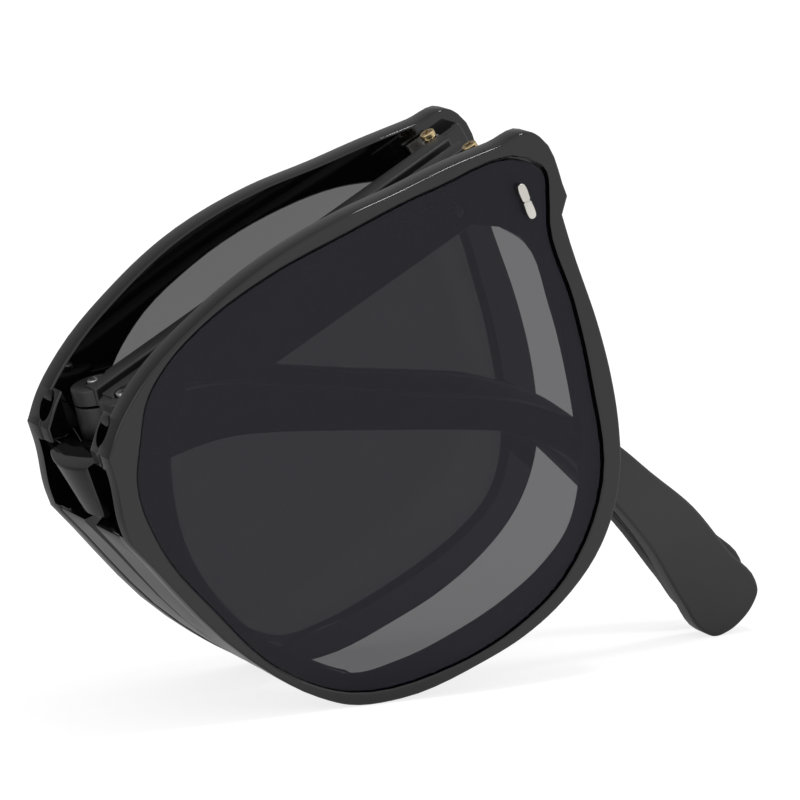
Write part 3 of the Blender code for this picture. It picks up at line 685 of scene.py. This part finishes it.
def model_rear_half(play):
    """The temple from the middle hinge to the tip, with that hinge's middle knuckle."""
    half = TEMPLE_HEIGHT / 2
    tip = plate("tip", (rear_rows(play),), REAR_NEAR, REAR_FAR, REAR_ROUND)
    end = MID_INNER
    knuckle = rod("knuckle", KNUCKLE_RADIUS, -end, end, MID_AXIS, sides=48, chamfer=0.2)
    combine(tip, "UNION", knuckle)
    combine(
        tip, "DIFFERENCE", mid_room(MID_INNER, half + BEYOND), mid_room(-half - BEYOND, -MID_INNER),
        rod("bore", PIN_BORE, -half - BEYOND, half + BEYOND, MID_AXIS),
    )
    shaded(merged(tip))
    low = HINGE_W - REAR_DROP
    planes = [LEAN_START + (low - LEAN_START) * step / LEAN_CUTS for step in range(LEAN_CUTS + 1)]
    return bent(tip, (0, 1, 0), planes, lean)


def edge_of_rim(height):
    """How far along the pack the rim's bridge end stands at one height."""
    rows = [(u * RIM_WIDTH, w * RIM_HEIGHT) for u, w, _ in (RIM_SHARES[-3:] + RIM_SHARES[:1])]
    for (u0, w0), (u1, w1) in zip(rows, rows[1:]):
        if w0 <= height <= w1:
            return u0 + (u1 - u0) * (height - w0) / (w1 - w0)
    return rows[0][0]


def model_link():
    """The keystone block, drawn across the pack, with its arms and knuckles."""
    rows = []
    levels = (LINK_LOW, BRIDGE_W, LINK_HIGH)
    for side, heights in ((-1, levels), (1, levels[::-1])):
        for height in heights:
            half = BRIDGE_Y - (BRIDGE_U - edge_of_rim(height)) - GAP
            rows.append((Vector((side * half, height)), True))
    link = plate("link", (rows,), LINK_FACE, LINK_BACK, 0.35, steps=1)
    arms = block(
        "arms", (-BRIDGE_Y, LINK_LOW + ARM_INSET, ARM_FACE),
        (BRIDGE_Y, LINK_HIGH - ARM_INSET, LINK_BACK - ARM_BACK_INSET), rounding=0.25,
    )
    combine(link, "UNION", arms)
    low, high = LINK_LOW + LINK_KNUCKLE_INSET, LINK_HIGH - LINK_KNUCKLE_INSET
    for side in (-1, 1):
        place = Matrix.Translation((side * BRIDGE_Y, 0, BRIDGE_U)) @ UP_THE_LENS
        combine(link, "UNION", rod("knuckle", LINK_KNUCKLE, low, high, place, chamfer=0.15))
        bore = rod("bore", PIN_BORE, LINK_LOW - BEYOND, LINK_HIGH + BEYOND, place)
        combine(link, "DIFFERENCE", bore)
    shaded(merged(link))
    bent(link, (1, 0, 0), [step * CROWN_STEP for step in range(-8, 9)], crown)
    link.data.transform(PACK @ ACROSS_PACK)
    return link


def model_badge():
    """The notched bar on the lens, with rounded edges and a seam at its waist."""
    rows = []
    for sign in (1, -1):
        for angle in range(0, 181, 30):
            turn = math.radians(angle + (0 if sign > 0 else 180))
            u, w = BADGE_HALF * math.cos(turn), BADGE_HALF * math.sin(turn)
            rows.append((Vector((u, w + sign * BADGE_STRAIGHT)), False))
        for step in (1, 0, -1):
            inwards = BADGE_NOTCH * (1 - abs(step)) - BADGE_HALF
            rows.append((Vector((sign * inwards, sign * step * BADGE_NOTCH)), True))
    badge = plate("badge", (rows,), BADGE_BACK, BADGE_FRONT, BADGE_ROUND, 3)
    crosswise = Matrix.Rotation(math.radians(90), 4, "Y")
    seam_place = Matrix.Translation((0, 0, BADGE_FRONT)) @ crosswise
    combine(badge, "DIFFERENCE", rod("seam", BADGE_SEAM, -BEYOND, BEYOND, seam_place))
    place = Matrix.Translation(BADGE_PLACE) @ Matrix.Rotation(BADGE_TURN, 4, "Z")
    badge.data.transform(place)
    return shaded(badge)


def model_screw(place, head, low, high, shaft, end, turn):
    """A flat-headed screw with a cross recess, along the z of a place."""
    piece = rod("screw", head, low, high, sides=32, chamfer=0.12)
    combine(piece, "UNION", rod("shaft", shaft, end, low + 0.1, sides=20))
    reach, width = head * RECESS_REACH, head * RECESS_WIDTH
    for quarter in (0, 90):
        bar = block("recess", (-reach, -width, high - RECESS_DEPTH), (reach, width, high + BEYOND))
        bar.data.transform(Matrix.Rotation(math.radians(quarter + turn), 4, "Z"))
        combine(piece, "DIFFERENCE", bar)
    shaded(piece, 30)
    piece.data.transform(place)
    return piece


pair(model_rim(), "rim", "front", ACETATE)
pair(model_lens(), "lens", "front", SMOKE)
pair(model_front_half(), "temple", "temple", CHARCOAL)
pair(model_badge(), "rivet_badge", "front", POLISHED)
# The bridge screw takes the steel painted near black, as painted shade in its counterbore
bridge_screw = model_screw(BRIDGE_AXIS, *BRIDGE_SCREW)
pair(bridge_screw, "bridge_screw", "front", SHADE_PAINTED_STEEL)
temple_screw = model_screw(TEMPLE_AXIS, *TEMPLE_SCREW)
pair(temple_screw, "temple_screw", "front", BRASS)
pair(model_screw(MID_AXIS, *MID_SCREW), "mid_screw", "temple", STEEL)
for side, play in (("left", 0), ("right", RIGHT_PLAY)):
    tip = stand(model_rear_half(play), side == "right")
    node = side + "_temple_tip"
    dress(tip, "dressed_" + node, side + "_tip", CHARCOAL, node)
dress(model_link(), "dressed_bridge_link", "link", ACETATE, "bridge_link")

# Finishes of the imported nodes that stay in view
for node, finish in (
    ("endpiece_leaf", NICKEL), ("temple_leaf", NICKEL),
    ("bridge_nut", BRASS), ("mid_insert", BRASS),
):
    for side in ("left", "right"):
        for slot in frame["nodes"][f"{side}_{node}"].material_slots:
            slot.material = finish


def place_part(tree, kind, axis):
    """One axis of the place, or the direction, that a background shader sees."""
    place = add_node(tree, "TexCoord", output=kind)
    return add_node(tree, "SeparateXYZ", {"Vector": place}, output=axis)


def background(tree, depth, front, behind):
    """White to the camera and through glass; gloss sees white in front and grey behind.

    Returns that brightness, and 1 where a ray looks at the background itself.
    """
    camera = add_node(tree, "LightPath", output="Is Camera Ray")
    glass = add_node(tree, "LightPath", output="Is Transmission Ray")
    clear = camera.maths("MAXIMUM", camera, glass)
    gloss = add_node(tree, "LightPath", output="Is Glossy Ray") * (1 - clear)
    grey = add_node(tree, "MapRange", {
        "Value": depth, "From Min": front, "From Max": behind, "To Min": 1.0, "To Max": GREY_BEHIND,
    })
    return clear + gloss * grey, clear + gloss


def light_room():
    """White sky, softboxes and a white floor that keeps the shadow."""
    world = bpy.data.worlds.new("white_room")
    world.use_nodes = True
    bpy.context.scene.world = world
    tree = world.node_tree
    sky = tree.nodes["Background"]
    sky.inputs["Color"].default_value = (1, 1, 1, 1)
    white, seen = background(tree, place_part(tree, "Generated", "Y"), SKY_FRONT, SKY_BEHIND)
    height = place_part(tree, "Generated", "Z") * SKY_SLOPE
    dome = SKY_LOW + height.maths("MINIMUM", height, 1.0) * SKY_RISE
    feed(tree, sky.inputs["Strength"], white + (1 - seen) * dome)

    bpy.ops.mesh.primitive_plane_add(size=3)
    floor = bpy.context.object
    floor.name = "floor"
    paper = Finish("white_floor")
    tree = paper.tree
    shade = paper.noise(40, 2)
    paper.set(
        Base_Color=paper.blend(shade, (0.93, 0.93, 0.93), (0.96, 0.96, 0.96)), Roughness=0.9,
        Specular_IOR_Level=0.0,
    )
    # Seen in gloss, the floor's glow is painted: a painted reflection in front of the pack and
    # painted shade behind it
    white, seen = background(tree, place_part(tree, "Object", "Y"), FLOOR_FRONT, FLOOR_BEHIND)
    lit = Field(tree, paper.surface.outputs[0])
    glow = add_node(tree, "Emission", {"Strength": white * FLOOR_WHITE - FLOOR_DROP})
    both = add_node(tree, "MixShader", {0: seen * FLOOR_GLOW, 1: lit, 2: glow})
    feed(tree, tree.nodes["Material Output"].inputs["Surface"], both)
    floor.data.materials.append(paper.material)

    for name, place, size, power in SOFTBOXES:
        bpy.ops.object.light_add(type="AREA", location=place)
        lamp = bpy.context.object
        lamp.name = name
        lamp.data.size = size
        lamp.data.energy = power
        towards = Vector(place) - Vector(PACK_MIDDLE)
        lamp.rotation_euler = towards.to_track_quat("Z", "Y").to_euler()


def aim_camera():
    """The camera of the photograph, given in the pack's own frame in millimetres."""
    right = Vector((0.77713, -0.43220, -0.45746))
    up = Vector((0.56903, 0.17207, 0.80410))
    forward = Vector((0.26882, 0.88521, -0.37965))
    turn = PACK.to_3x3().normalized() @ Matrix((right, up, -forward)).transposed()
    place = PACK @ Vector((-123.51, -534.53, 256.45))
    bpy.ops.object.camera_add(location=place, rotation=turn.to_euler())
    camera = bpy.context.object
    camera.data.sensor_width = 36
    camera.data.lens = 236.3
    camera.data.clip_start = 0.05
    bpy.context.scene.camera = camera


light_room()
aim_camera()
bpy.context.scene.view_settings.view_transform = "Standard"
bpy.context.view_layer.update()
